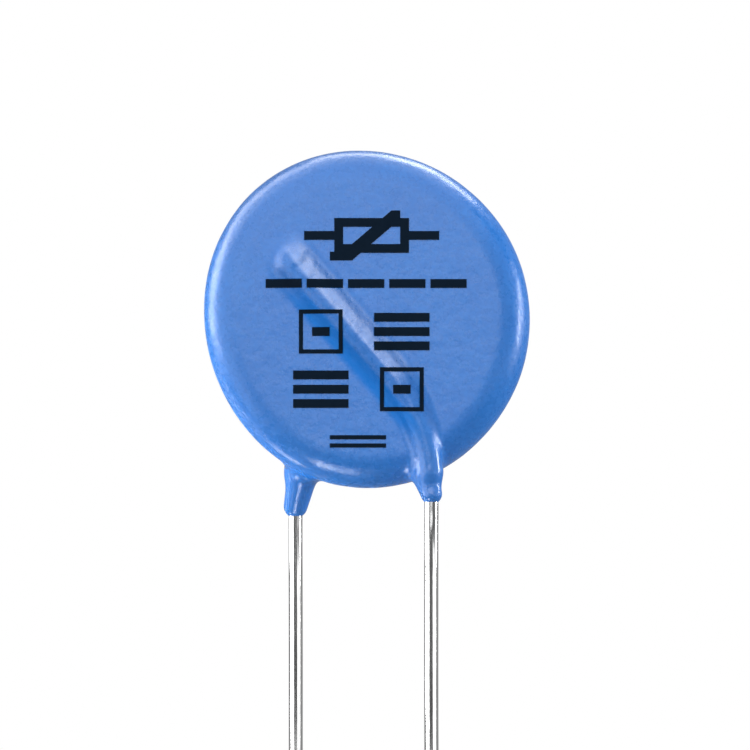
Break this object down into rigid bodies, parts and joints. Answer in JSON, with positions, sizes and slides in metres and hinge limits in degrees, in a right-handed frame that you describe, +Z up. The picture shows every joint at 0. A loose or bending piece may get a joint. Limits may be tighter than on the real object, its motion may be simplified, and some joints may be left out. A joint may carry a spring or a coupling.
{
  "type": "disc varistor",
  "caption": "Leaded disc varistor: zinc-oxide disc with silver films and soldered wires, dipped in blue epoxy, with leads for a board.",
  "frame": {"origin": "midway between the two leads, on the seating plane, which is the lowest point of the coating", "axes": "+Z up from the board, with the leads pointing down; +X across the leads towards the front lead; -Y out of the front face"},
  "size_m": [0.0119, 0.004, 0.0385],
  "materials": {
    "epoxy": "satin dipped epoxy with a fine orange peel",
    "ink": "matt printed ink",
    "tinned_wire": "bright tinned drawn wire",
    "zinc_oxide": "matt sintered ceramic",
    "silver_film": "matt fired silver",
    "solder": "satin solder"
  },
  "bodies": {
    "root": {"coating": "epoxy", "marking": "ink", "front_lead": "tinned_wire", "rear_lead": "tinned_wire", "ceramic_disc": "zinc_oxide", "front_electrode": "silver_film", "rear_electrode": "silver_film", "front_solder": "solder", "rear_solder": "solder"}
  },
  "joints": []
}
